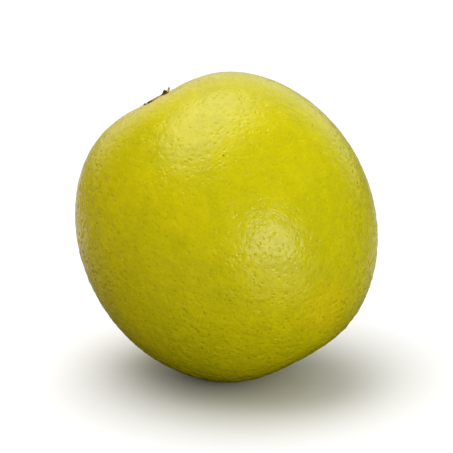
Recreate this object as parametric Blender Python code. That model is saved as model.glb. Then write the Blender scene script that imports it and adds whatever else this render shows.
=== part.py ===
"""A whole pera orange with its dry calyx and the snapped end of its stalk.

The fruit is shaped upright about its own axis, stem end up, by a law that gives the distance from
its middle to the skin in every direction. It is then laid over on a small flat spot, with the stem
end up and to the left. Units are metres, +Z is up, and the origin is on the ground under the middle
of the fruit.
"""

import math

import bmesh
import bpy
from mathutils import Matrix, Vector

# The fruit's outline, measured from its middle
WAIST_RADIUS = 0.0348
SHOULDER_RISE = 0.0029
STEM_FLATTENING = 0.00336
STEM_FLATTENING_REACH = math.radians(21.3)
BLOSSOM_FLATTENING = 0.00219
BLOSSOM_FLATTENING_REACH = math.radians(18.6)

# What makes it uneven round its axis
LOPSIDEDNESS = 0.00014
LOPSIDED_TOWARDS = math.radians(-150)
SWELL_HEIGHT = 0.00012
SWELLS = 3

# The hollow that the calyx sits in, and the furrows that run out of it
STEM_HOLLOW_DEPTH = 0.0009
STEM_HOLLOW_REACH = math.radians(7.0)
FURROW_DEPTH = 0.00018
FURROWS = 9
FURROW_START = math.radians(7.0)
FURROW_REACH = math.radians(15.0)

# The stylar scar in the middle of the blossom end
SCAR_DEPTH = 0.0005
SCAR_REACH = math.radians(2.6)

# The mesh of the fruit: its rings lie closer together towards both ends
MERIDIANS = 64
RINGS = 40
RING_CROWDING = 0.5

# How the fruit lies
STEM_LEAN = math.radians(31.5)
STEM_HEADING = math.radians(155)
REST_DEPTH = 0.0008

# The clearance between neighbouring pieces
GAP = 0.0003

# The calyx: a ring with five dry sepals
SEPALS = 5
CALYX_INNER_RADIUS = 0.0022
CALYX_NOTCH_RADIUS = 0.0027
CALYX_TIP_RADIUS = 0.0037
CALYX_THICKNESS = 0.0006
CALYX_TURN = math.radians(12)
SEPAL_SIDE_CURVE = 1.2
SEPAL_CURL = 0.00055
CURL_UNEVENNESS = 0.6
MOST_CURLED_TOWARDS = math.radians(-140)
CALYX_SEGMENTS = 60
CALYX_SECTION = ((0.0, 0.0), (0.5, 0.0), (1.0, 0.25), (1.0, 0.7), (0.5, 1.0), (0.0, 1.0))

# The stalk's end: a low disc with a sunken middle
STALK_RADIUS = CALYX_INNER_RADIUS - GAP
STALK_HEIGHT = 0.0009
STALK_SEGMENTS = 24
STALK_SECTION = ((0.85, 0.0), (1.0, 0.2), (1.0, 0.75), (0.85, 1.0), (0.5, 0.8))
STALK_MIDDLE_HEIGHT = 0.65

# Colour, roughness and metallic value of each piece
SKIN_FINISH = ((0.52, 0.47, 0.02, 1.0), 0.42, 0.0)
CALYX_FINISH = ((0.13, 0.07, 0.02, 1.0), 0.85, 0.0)
STALK_FINISH = ((0.45, 0.27, 0.08, 1.0), 0.8, 0.0)


def clear_scene():
    """Remove every object that is in the scene."""
    for old in list(bpy.data.objects):
        bpy.data.objects.remove(old, do_unlink=True)


def make_material(name, finish):
    """Return a Principled material with the given colour, roughness and metallic value."""
    colour, roughness, metallic = finish
    material = bpy.data.materials.new(name)
    material.use_nodes = True
    shader = material.node_tree.nodes["Principled BSDF"]
    shader.inputs["Base Color"].default_value = colour
    shader.inputs["Roughness"].default_value = roughness
    shader.inputs["Metallic"].default_value = metallic
    material.diffuse_color = colour
    return material


def bump(angle, reach):
    """Return a smooth bump: 1 at an angle of 0, nearly 0 past twice its reach."""
    return math.exp(-((angle / reach) ** 2))


def furrow_strength(polar):
    """Return how deep the furrows are at an angle from the stem end, from 0 to 1."""
    return (1.0 - bump(polar, FURROW_START)) * bump(polar, FURROW_REACH)


def skin_radius(polar, azimuth):
    """Return the distance from the fruit's middle to its skin.

    polar is the angle from the stem end, and azimuth the angle round the axis.
    """
    waisted = math.sin(polar) ** 2
    radius = WAIST_RADIUS + SHOULDER_RISE * math.cos(polar) ** 2
    radius -= STEM_FLATTENING * bump(polar, STEM_FLATTENING_REACH)
    radius -= BLOSSOM_FLATTENING * bump(math.pi - polar, BLOSSOM_FLATTENING_REACH)
    radius -= STEM_HOLLOW_DEPTH * bump(polar, STEM_HOLLOW_REACH)
    radius -= SCAR_DEPTH * bump(math.pi - polar, SCAR_REACH)
    radius -= LOPSIDEDNESS * math.sin(2.0 * polar) * math.cos(azimuth - LOPSIDED_TOWARDS)
    radius += SWELL_HEIGHT * waisted * math.cos(SWELLS * azimuth)
    uneven = math.cos(FURROWS * azimuth + math.sin(2.0 * azimuth))
    radius += FURROW_DEPTH * furrow_strength(polar) * uneven
    return radius


def skin_point(polar, azimuth, lift=0.0):
    """Return the point that stands the given height above the skin."""
    outward = Vector((
        math.sin(polar) * math.cos(azimuth),
        math.sin(polar) * math.sin(azimuth),
        math.cos(polar),
    ))
    return outward * (skin_radius(polar, azimuth) + lift)


def near_stem(distance, azimuth, lift):
    """Return a point by its distance from the axis along the skin at the stem end."""
    return skin_point(distance / skin_radius(0.0, 0.0), azimuth, lift)


def spread_rings(polar):
    """Return the angle that an evenly spaced ring moves to, closer to the ends."""
    return polar - 0.5 * RING_CROWDING * math.sin(2.0 * polar)


def finish_object(name, mesh_data, material, parent):
    """Turn a bmesh into a smooth-shaded object under the parent and return it."""
    bmesh.ops.recalc_face_normals(mesh_data, faces=mesh_data.faces)
    mesh = bpy.data.meshes.new(name)
    mesh_data.to_mesh(mesh)
    mesh_data.free()
    mesh.shade_smooth()
    mesh.set_sharp_from_angle(angle=math.radians(50))
    mesh.materials.append(material)
    result = bpy.data.objects.new(name, mesh)
    bpy.context.scene.collection.objects.link(result)
    result.parent = parent
    return result


def shape_fruit(lying):
    """Return the fruit's bmesh, shaped from a sphere, and the height of its middle when it lies."""
    fruit = bmesh.new()
    bmesh.ops.create_uvsphere(fruit, u_segments=MERIDIANS, v_segments=RINGS, radius=1.0)
    for vert in fruit.verts:
        polar = math.acos(max(-1.0, min(1.0, vert.co.z)))
        azimuth = math.atan2(vert.co.y, vert.co.x)
        vert.co = skin_point(spread_rings(polar), azimuth)
    lowest = min((lying @ vert.co).z for vert in fruit.verts)
    return fruit, -lowest - REST_DEPTH


def flatten_underside(fruit, lying, middle_height):
    """Cut the fruit flat where it meets the ground and close the cut with one face."""
    down = lying.inverted() @ Vector((0.0, 0.0, -1.0))
    cut = bmesh.ops.bisect_plane(
        fruit,
        geom=fruit.verts[:] + fruit.edges[:] + fruit.faces[:],
        dist=1e-7,
        plane_co=down * middle_height,
        plane_no=down,
        clear_outer=True,
    )
    rim = [piece for piece in cut["geom_cut"] if isinstance(piece, bmesh.types.BMEdge)]
    bmesh.ops.contextual_create(fruit, geom=rim)


def build_fruit(rest_pose, lying):
    """Build the fruit, stand its flat spot on the ground and centre it over the origin."""
    fruit, middle_height = shape_fruit(lying)
    flatten_underside(fruit, lying, middle_height)
    posed = [lying @ vert.co for vert in fruit.verts]
    rest_pose.location = (
        -0.5 * (min(point.x for point in posed) + max(point.x for point in posed)),
        -0.5 * (min(point.y for point in posed) + max(point.y for point in posed)),
        middle_height,
    )
    return finish_object("fruit", fruit, make_material("rind", SKIN_FINISH), rest_pose)


def sepal_reach(azimuth):
    """Return 1 along the middle of a sepal, falling to 0 in the notch between two."""
    pitch = 2.0 * math.pi / SEPALS
    off_middle = abs((azimuth + 0.5 * pitch) % pitch - 0.5 * pitch) / (0.5 * pitch)
    return 1.0 - off_middle ** SEPAL_SIDE_CURVE


def sepal_curl(azimuth):
    """Return how high a sepal's tip curls up, more on one side of the calyx."""
    return SEPAL_CURL * (1.0 + CURL_UNEVENNESS * math.cos(azimuth - MOST_CURLED_TOWARDS))


def build_calyx(rest_pose):
    """Build the calyx: a ring spun from its section, then drawn out into curled sepals."""
    calyx = bmesh.new()
    corners = [calyx.verts.new((1.0 + across, 0.0, up)) for across, up in CALYX_SECTION]
    section = calyx.faces.new(corners)
    bmesh.ops.spin(
        calyx,
        geom=section.edges[:],
        axis=(0.0, 0.0, 1.0),
        cent=(0.0, 0.0, 0.0),
        steps=CALYX_SEGMENTS,
        angle=2.0 * math.pi,
        use_merge=True,
    )
    bmesh.ops.delete(calyx, geom=[section], context="FACES_ONLY")
    for vert in calyx.verts:
        azimuth = math.atan2(vert.co.y, vert.co.x)
        across = math.hypot(vert.co.x, vert.co.y) - 1.0
        up = vert.co.z
        sepal = sepal_reach(azimuth)
        outer = CALYX_NOTCH_RADIUS + (CALYX_TIP_RADIUS - CALYX_NOTCH_RADIUS) * sepal
        distance = CALYX_INNER_RADIUS + (outer - CALYX_INNER_RADIUS) * across
        turned = azimuth + CALYX_TURN
        curl = sepal_curl(turned) * sepal * across ** 2
        vert.co = near_stem(distance, turned, GAP + CALYX_THICKNESS * up + curl)
    return finish_object("calyx", calyx, make_material("sepals", CALYX_FINISH), rest_pose)


def build_stalk(rest_pose):
    """Build the stalk's end: its section spun to a disc and closed with a fan at each end."""
    stalk = bmesh.new()
    corners = [stalk.verts.new((across, 0.0, up)) for across, up in STALK_SECTION]
    edges = [stalk.edges.new(pair) for pair in zip(corners, corners[1:])]
    bmesh.ops.spin(
        stalk,
        geom=edges,
        axis=(0.0, 0.0, 1.0),
        cent=(0.0, 0.0, 0.0),
        steps=STALK_SEGMENTS,
        angle=2.0 * math.pi,
        use_merge=True,
    )
    rims = [edge for edge in stalk.edges if edge.is_boundary]
    bmesh.ops.holes_fill(stalk, edges=rims, sides=STALK_SEGMENTS)
    caps = [face for face in stalk.faces if len(face.verts) == STALK_SEGMENTS]
    fans = bmesh.ops.poke(stalk, faces=caps)
    for middle in fans["verts"]:
        if middle.co.z > 0.0:
            middle.co.z = STALK_MIDDLE_HEIGHT
    for vert in stalk.verts:
        azimuth = math.atan2(vert.co.y, vert.co.x)
        distance = STALK_RADIUS * math.hypot(vert.co.x, vert.co.y)
        vert.co = near_stem(distance, azimuth, GAP + STALK_HEIGHT * vert.co.z)
    return finish_object("stem_end", stalk, make_material("stalk", STALK_FINISH), rest_pose)


def main():
    """Build the orange."""
    clear_scene()
    lying = Matrix.Rotation(STEM_HEADING, 3, "Z") @ Matrix.Rotation(STEM_LEAN, 3, "Y")
    rest_pose = bpy.data.objects.new("rest_pose", None)
    bpy.context.scene.collection.objects.link(rest_pose)
    rest_pose.rotation_euler = lying.to_euler()
    build_fruit(rest_pose, lying)
    build_calyx(rest_pose)
    build_stalk(rest_pose)
    bpy.context.view_layer.update()


main()
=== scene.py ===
"""The looks of a whole pera orange: pitted rind, dry calyx and snapped stalk, in a white studio.

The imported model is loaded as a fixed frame. Each of its solids is replaced by a finer piece that
keeps its form. Sizes are in metres unless a name ends in _mm, +Z is up, and the camera looks
along +Y.
"""

import logging
import math
from dataclasses import dataclass
from enum import Enum

import bpy
import numpy as np
from mathutils import Matrix, Vector


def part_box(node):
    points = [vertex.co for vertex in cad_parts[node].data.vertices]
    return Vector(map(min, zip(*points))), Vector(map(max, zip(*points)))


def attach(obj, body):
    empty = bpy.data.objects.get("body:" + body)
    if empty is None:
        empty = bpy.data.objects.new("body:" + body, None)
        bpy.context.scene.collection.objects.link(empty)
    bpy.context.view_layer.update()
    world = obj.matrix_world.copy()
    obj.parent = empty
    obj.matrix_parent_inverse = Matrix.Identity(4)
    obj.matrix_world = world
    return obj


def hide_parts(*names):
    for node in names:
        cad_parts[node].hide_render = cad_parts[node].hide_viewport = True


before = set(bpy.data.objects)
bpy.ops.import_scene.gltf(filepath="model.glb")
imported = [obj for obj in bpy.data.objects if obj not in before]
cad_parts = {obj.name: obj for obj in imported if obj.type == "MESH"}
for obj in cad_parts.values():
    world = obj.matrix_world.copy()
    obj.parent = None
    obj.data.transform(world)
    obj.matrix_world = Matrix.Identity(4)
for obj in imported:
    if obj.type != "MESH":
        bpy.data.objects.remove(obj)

LOG = logging.getLogger("pera_orange")
BODY = "root"
MM = 0.001
WHITE = (1.0, 1.0, 1.0, 1.0)
ORIGIN = (0.0, 0.0, 0.0)

# What a vector is multiplied by to lose its height
FLATTENED = (1.0, 1.0, 0.0)

# Steps in which the law's outline is measured
POLAR_STEPS = 181
AZIMUTH_STEPS = 361

# Levels of smoothing on the small pieces, and layers of the noise that roughens them
SMOOTHING_LEVELS = 2
CLOUD_LAYERS = 2

# Sums on vectors whose result is a number
NUMBER_FROM_VECTORS = ("DISTANCE", "DOT_PRODUCT", "LENGTH")

# Where a Mix node keeps its two colours, their blend and its two numbers
COLOUR_BELOW = 6
COLOUR_ABOVE = 7
COLOUR_RESULT = 2
NUMBER_BELOW = 2
NUMBER_ABOVE = 3

# The middle of a noise's readings, and those between which its blotches fade into each other
NOISE_MIDDLE = 0.5
SOFT_EDGE = (0.3, 0.7)

# Area of an ellipse as a share of the box round it, and half of a light on its own coordinates
ELLIPSE_SHARE = math.pi / 4.0
HALF_LIGHT = 0.5

Colour = tuple[float, float, float, float]
Point = tuple[float, float, float]
Span = tuple[float, float]
Socket = bpy.types.NodeSocket
Piece = bpy.types.Object


class Solid(Enum):
    """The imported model's solids."""

    FRUIT = "fruit"
    CALYX = "calyx"
    STEM_END = "stem_end"


class Slot(Enum):
    """The record's material slots."""

    RIND = "rind"
    SEPALS = "sepals"
    STALK = "stalk"


# The form of the fruit


def bump(angle: np.ndarray, reach: float) -> np.ndarray:
    """Give a smooth bump that is 1 at an angle of 0 and nearly 0 past twice its reach."""
    return np.exp(-((angle / reach) ** 2))


@dataclass(frozen=True)
class Outline:
    """The law of the fruit's form: how far its skin stands from its middle in every direction.

    A direction is given by its polar angle from the stem end and its azimuth round the axis.

    Attributes:
        waist_radius: Distance from the middle to the skin at the waist.
        shoulder_rise: How much further out the skin would be at the two ends.
        stem_flattening: How far the stem end is flattened.
        stem_flattening_reach: Angle over which it is flattened.
        blossom_flattening: How far the blossom end is flattened.
        blossom_flattening_reach: Angle over which it is flattened.
        lopsidedness: How far the shoulder is sunk on one side and raised on the other.
        lopsided_towards: Azimuth of the sunken side.
        swell_height: Height of the soft swellings round the waist.
        swells: Number of them.
        stem_hollow_depth: Depth of the hollow at the stem end.
        stem_hollow_reach: Angle over which it is hollow.
        furrow_depth: Depth of the furrows that run out from the hollow.
        furrows: Number of them.
        furrow_start: Angle where they begin.
        furrow_reach: Angle where they fade.
        scar_depth: Depth of the scar at the blossom end.
        scar_reach: Angle over which it is sunk.
    """

    waist_radius: float = 0.0348
    shoulder_rise: float = 0.0029
    stem_flattening: float = 0.00336
    stem_flattening_reach: float = math.radians(21.3)
    blossom_flattening: float = 0.00219
    blossom_flattening_reach: float = math.radians(18.6)
    lopsidedness: float = 0.00014
    lopsided_towards: float = math.radians(-150)
    swell_height: float = 0.00012
    swells: int = 3
    stem_hollow_depth: float = 0.0009
    stem_hollow_reach: float = math.radians(7.0)
    furrow_depth: float = 0.00018
    furrows: int = 9
    furrow_start: float = math.radians(7.0)
    furrow_reach: float = math.radians(15.0)
    scar_depth: float = 0.0005
    scar_reach: float = math.radians(2.6)

    def radius(self, polar: np.ndarray, azimuth: np.ndarray) -> np.ndarray:
        """Give the distance from the middle to the skin.

        Args:
            polar: Angles from the stem end.
            azimuth: Angles round the axis.

        Returns:
            One distance for each direction.
        """
        radius = self.waist_radius + self.shoulder_rise * np.cos(polar) ** 2
        radius -= self.stem_flattening * bump(polar, self.stem_flattening_reach)
        radius -= self.blossom_flattening * bump(math.pi - polar, self.blossom_flattening_reach)
        radius -= self.stem_hollow_depth * bump(polar, self.stem_hollow_reach)
        radius -= self.scar_depth * bump(math.pi - polar, self.scar_reach)
        leaning = np.sin(2.0 * polar) * np.cos(azimuth - self.lopsided_towards)
        radius -= self.lopsidedness * leaning
        radius += self.swell_height * np.sin(polar) ** 2 * np.cos(self.swells * azimuth)
        depth = (1.0 - bump(polar, self.furrow_start)) * bump(polar, self.furrow_reach)
        uneven = np.cos(self.furrows * azimuth + np.sin(2.0 * azimuth))
        return radius + self.furrow_depth * depth * uneven

    def points(self, polar: np.ndarray, azimuth: np.ndarray, lift: np.ndarray) -> np.ndarray:
        """Give the points that stand a height above the skin, in the fruit's own frame.

        Args:
            polar: Angles from the stem end.
            azimuth: Angles round the axis.
            lift: Heights above the skin.

        Returns:
            An array of points, three numbers each.
        """
        reach = self.radius(polar, azimuth) + lift
        across = reach * np.sin(polar)
        return np.stack((across * np.cos(azimuth), across * np.sin(azimuth), reach * np.cos(polar)), 1)

    def pole_radius(self, polar: float) -> float:
        """Give the distance from the middle to the skin on the axis, at 0 or at half a turn."""
        return float(self.radius(np.array([polar]), np.zeros(1))[0])


@dataclass(frozen=True)
class Lie:
    """How the fruit lies: its stem end leans up, to the left and slightly back.

    Attributes:
        lean: Angle between the stem axis and the vertical.
        heading: Compass direction that the stem end leans to, from +X towards +Y.
        middle: Where the fruit's middle is in the model's frame.
    """

    lean: float = math.radians(31.5)
    heading: float = math.radians(155)
    middle: Point = ORIGIN

    @classmethod
    def from_box(cls, outline: Outline, low: Vector, high: Vector) -> "Lie":
        """Find the middle that fits the law's outline under the top of the solid's box.

        Args:
            outline: The law of the fruit's form.
            low: The box's lowest corner.
            high: The box's highest corner.

        Returns:
            The way the fruit lies, with its middle set.
        """
        polar_steps = np.linspace(0.0, math.pi, POLAR_STEPS)
        azimuth_steps = np.linspace(-math.pi, math.pi, AZIMUTH_STEPS)
        polar, azimuth = np.meshgrid(polar_steps, azimuth_steps)
        skin = outline.points(polar.ravel(), azimuth.ravel(), np.zeros(polar.size))
        turned = skin @ np.array(cls().turn()).T
        least, most = turned.min(0), turned.max(0)
        centred = [0.5 * (low[i] + high[i] - least[i] - most[i]) for i in range(2)]
        return cls(middle=(centred[0], centred[1], high[2] - most[2]))

    def turn(self) -> Matrix:
        """Give the rotation from the fruit's own frame to the model's."""
        return Matrix.Rotation(self.heading, 3, "Z") @ Matrix.Rotation(self.lean, 3, "Y")

    def place(self, points: np.ndarray) -> np.ndarray:
        """Move points from the fruit's own frame to the model's frame."""
        return points @ np.array(self.turn()).T + np.array(self.middle)


# What a hand does in the editor, under short names


def deselect_all() -> None:
    """Leave edit mode and select nothing."""
    if bpy.context.mode != "OBJECT":
        bpy.ops.object.mode_set(mode="OBJECT")
    bpy.ops.object.select_all(action="DESELECT")


def name_new(name: str) -> Piece:
    """Name the primitive that was just added.

    Args:
        name: What it is called.

    Returns:
        The primitive.
    """
    piece = bpy.context.object
    piece.name = name
    piece.data.name = name
    return piece


def edit_all() -> None:
    """Open the active piece for editing with everything selected."""
    bpy.ops.object.mode_set(mode="EDIT")
    bpy.ops.mesh.select_all(action="SELECT")


def apply_modifier(piece: Piece, kind: str, **settings: object) -> None:
    """Add a modifier to a piece, set it and apply it.

    Args:
        piece: The piece to change, which is the active object.
        kind: Blender's name for the modifier's type.
        **settings: Values for the modifier's properties.
    """
    modifier = piece.modifiers.new(kind.lower(), kind)
    for key, value in settings.items():
        setattr(modifier, key, value)
    bpy.ops.object.modifier_apply(modifier=modifier.name)


def read_points(piece: Piece) -> np.ndarray:
    """Read the points of a piece's mesh.

    Args:
        piece: The piece.

    Returns:
        An array of points, three numbers each.
    """
    flat = np.empty(len(piece.data.vertices) * 3, dtype=np.float32)
    piece.data.vertices.foreach_get("co", flat)
    return flat.reshape(-1, 3).astype(np.float64)


def write_points(piece: Piece, points: np.ndarray) -> None:
    """Write the points of a piece's mesh."""
    piece.data.vertices.foreach_set("co", points.astype(np.float32).ravel())
    piece.data.update()


def clouds(name: str, size: float) -> bpy.types.Texture:
    """Make a soft noise texture for a Displace modifier.

    Args:
        name: Name of the texture.
        size: Size of its largest blotches.

    Returns:
        The texture.
    """
    texture = bpy.data.textures.new(name, "CLOUDS")
    texture.noise_scale = size
    texture.noise_depth = CLOUD_LAYERS
    return texture


# Node trees


class Wiring:
    """Adds nodes to a tree and joins them, for shaders and for geometry alike."""

    def __init__(self, tree: bpy.types.NodeTree) -> None:
        """Take the tree that the nodes go into."""
        self.tree = tree

    def node(self, kind: str, **settings: object) -> bpy.types.Node:
        """Add a node and set its properties.

        Args:
            kind: Blender's name for the node's type.
            **settings: Values for the node's properties.

        Returns:
            The new node.
        """
        made = self.tree.nodes.new(kind)
        for key, value in settings.items():
            setattr(made, key, value)
        return made

    def feed(self, target: Socket, value: object) -> None:
        """Join a socket to an input, or set the input to a value.

        Args:
            target: The input.
            value: The socket to join to it, or its value.
        """
        if isinstance(value, bpy.types.NodeSocket):
            self.tree.links.new(value, target)
        else:
            target.default_value = value

    def math(self, operation: str, first: object, second: object = 0.0) -> Socket:
        """Work out one sum on numbers.

        Args:
            operation: Blender's name for the sum.
            first: The first number, as a socket or a value.
            second: The second number, for a sum that takes two.

        Returns:
            The result.
        """
        made = self.node("ShaderNodeMath", operation=operation)
        self.feed(made.inputs[0], first)
        self.feed(made.inputs[1], second)
        return made.outputs[0]

    def product(self, first: object, second: object) -> Socket:
        """Multiply two numbers."""
        return self.math("MULTIPLY", first, second)

    def total(self, first: object, second: object) -> Socket:
        """Add two numbers."""
        return self.math("ADD", first, second)

    def vector_math(self, operation: str, first: object, second: object = ORIGIN) -> Socket:
        """Work out one sum on vectors.

        Args:
            operation: Blender's name for the sum.
            first: The first vector, as a socket or a value.
            second: The second vector, for a sum that takes two.

        Returns:
            The result: a number for a length, a distance or a dot product, and otherwise a vector.
        """
        made = self.node("ShaderNodeVectorMath", operation=operation)
        self.feed(made.inputs[0], first)
        self.feed(made.inputs[1], second)
        return made.outputs["Value" if operation in NUMBER_FROM_VECTORS else "Vector"]

    def scale(self, vector: Socket, factor: object) -> Socket:
        """Multiply a vector by a number.

        Args:
            vector: The vector.
            factor: The number, as a socket or a value.

        Returns:
            The longer or shorter vector.
        """
        made = self.node("ShaderNodeVectorMath", operation="SCALE")
        self.feed(made.inputs[0], vector)
        self.feed(made.inputs["Scale"], factor)
        return made.outputs["Vector"]

    def distance(self, place: Socket, target: Point) -> Socket:
        """Measure how far a place is from a fixed point."""
        return self.vector_math("DISTANCE", place, target)

    def axis(self, vector: Socket, name: str) -> Socket:
        """Read one of a vector's three numbers.

        Args:
            vector: The vector.
            name: X, Y or Z.

        Returns:
            The number.
        """
        made = self.node("ShaderNodeSeparateXYZ")
        self.feed(made.inputs[0], vector)
        return made.outputs[name]

    def ramp(self, value: Socket, low: float, high: float, start: float = 0.0, end: float = 1.0) -> Socket:
        """Ease a value from start at low to end at high, level beyond both.

        Args:
            value: The number to read.
            low: The reading where the ramp starts.
            high: The reading where it ends.
            start: The result at and below low.
            end: The result at and above high.

        Returns:
            The eased number.
        """
        made = self.node("ShaderNodeMapRange", interpolation_type="SMOOTHSTEP")
        self.feed(made.inputs["Value"], value)
        for name, number in (("From Min", low), ("From Max", high), ("To Min", start), ("To Max", end)):
            made.inputs[name].default_value = number
        return made.outputs["Result"]

    def fade(self, distance: Socket, reach: float, start: float = 1.0) -> Socket:
        """Ease from start at a distance of 0 to nothing at the reach."""
        return self.ramp(distance, 0.0, reach, start, 0.0)

    def noise(self, place: Socket, size: float, detail: float = 2.0, roughness: float = 0.5) -> Socket:
        """Add soft noise.

        Args:
            place: Where to read it.
            size: Size of its blotches.
            detail: Number of finer layers.
            roughness: Strength of each finer layer, as a share of the one before.

        Returns:
            A number from 0 to 1, mostly near the middle.
        """
        made = self.node("ShaderNodeTexNoise")
        self.feed(made.inputs["Vector"], place)
        made.inputs["Scale"].default_value = 1.0 / size
        made.inputs["Detail"].default_value = detail
        made.inputs["Roughness"].default_value = roughness
        return made.outputs[0]

    def cells(self, place: Socket, size: float, softness: float = 0.0) -> bpy.types.Node:
        """Add a pattern of scattered points, with the distance to the nearest one.

        Args:
            place: Where to read the pattern.
            size: Spacing of the points.
            softness: How softly the pattern passes from one point to the next.

        Returns:
            The node, with its Distance in units of the spacing and a random Color for each point.
        """
        made = self.node("ShaderNodeTexVoronoi", feature="SMOOTH_F1" if softness else "F1")
        self.feed(made.inputs["Vector"], place)
        made.inputs["Scale"].default_value = 1.0 / size
        if softness:
            made.inputs["Smoothness"].default_value = softness
        return made

    def mix(self, share: object, below: object, above: object, blend: str = "MIX") -> Socket:
        """Blend two colours.

        Args:
            share: How much of the upper colour shows.
            below: The lower colour.
            above: The upper colour.
            blend: Blender's name for the way they blend.

        Returns:
            The blended colour.
        """
        made = self.node("ShaderNodeMix", data_type="RGBA", blend_type=blend)
        self.feed(made.inputs[0], share)
        self.feed(made.inputs[COLOUR_BELOW], below)
        self.feed(made.inputs[COLOUR_ABOVE], above)
        return made.outputs[COLOUR_RESULT]

    def mix_numbers(self, share: Socket, below: Socket, above: Socket) -> Socket:
        """Blend two numbers.

        Args:
            share: How much of the second number is taken.
            below: The first number.
            above: The second number.

        Returns:
            The blended number.
        """
        made = self.node("ShaderNodeMix", data_type="FLOAT")
        self.feed(made.inputs[0], share)
        self.feed(made.inputs[NUMBER_BELOW], below)
        self.feed(made.inputs[NUMBER_ABOVE], above)
        return made.outputs[0]


class Coat:
    """A new material and the wiring of its shader."""

    def __init__(self, name: str) -> None:
        """Make the material and find its shader.

        Args:
            name: What the material is called.
        """
        self.material = bpy.data.materials.new(name)
        self.material.use_nodes = True
        self.wiring = Wiring(self.material.node_tree)
        self.shader = self.material.node_tree.nodes["Principled BSDF"]

    def place_mm(self) -> Socket:
        """Give the place on the piece in millimetres, in the model's frame."""
        coordinates = self.wiring.node("ShaderNodeTexCoord")
        return self.wiring.scale(coordinates.outputs["Object"], 1.0 / MM)

    def own_mm(self, lie: Lie) -> Socket:
        """Give the place in millimetres in the fruit's own frame, stem end up.

        Args:
            lie: How the fruit lies.

        Returns:
            The place, seen from the fruit's middle.
        """
        back = lie.turn().transposed()
        mapping = self.wiring.node("ShaderNodeMapping")
        self.wiring.feed(mapping.inputs["Vector"], self.place_mm())
        mapping.inputs["Rotation"].default_value = back.to_euler()
        mapping.inputs["Location"].default_value = back @ Vector(lie.middle) / -MM
        return mapping.outputs["Vector"]

    def from_stem_axis(self, own: Socket) -> Socket:
        """Give how far a place in the fruit's own frame is from the axis of the stem."""
        flat = self.wiring.vector_math("MULTIPLY", own, FLATTENED)
        return self.wiring.vector_math("LENGTH", flat)

    def set_colour(self, colour: Socket) -> None:
        """Give the surface its colour."""
        self.wiring.feed(self.shader.inputs["Base Color"], colour)

    def set_values(self, **values: float) -> None:
        """Set inputs of the shader that are the same all over."""
        for key, value in values.items():
            self.shader.inputs[key.replace("_", " ").title().replace("Ior", "IOR")].default_value = value

    def raise_height(self, height_mm: Socket) -> None:
        """Shade the surface as if it stood up by a height.

        Args:
            height_mm: The height at each place.
        """
        made = self.wiring.node("ShaderNodeBump")
        made.inputs["Distance"].default_value = MM
        self.wiring.feed(made.inputs["Height"], height_mm)
        self.wiring.feed(self.shader.inputs["Normal"], made.outputs["Normal"])


# The finishes


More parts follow.
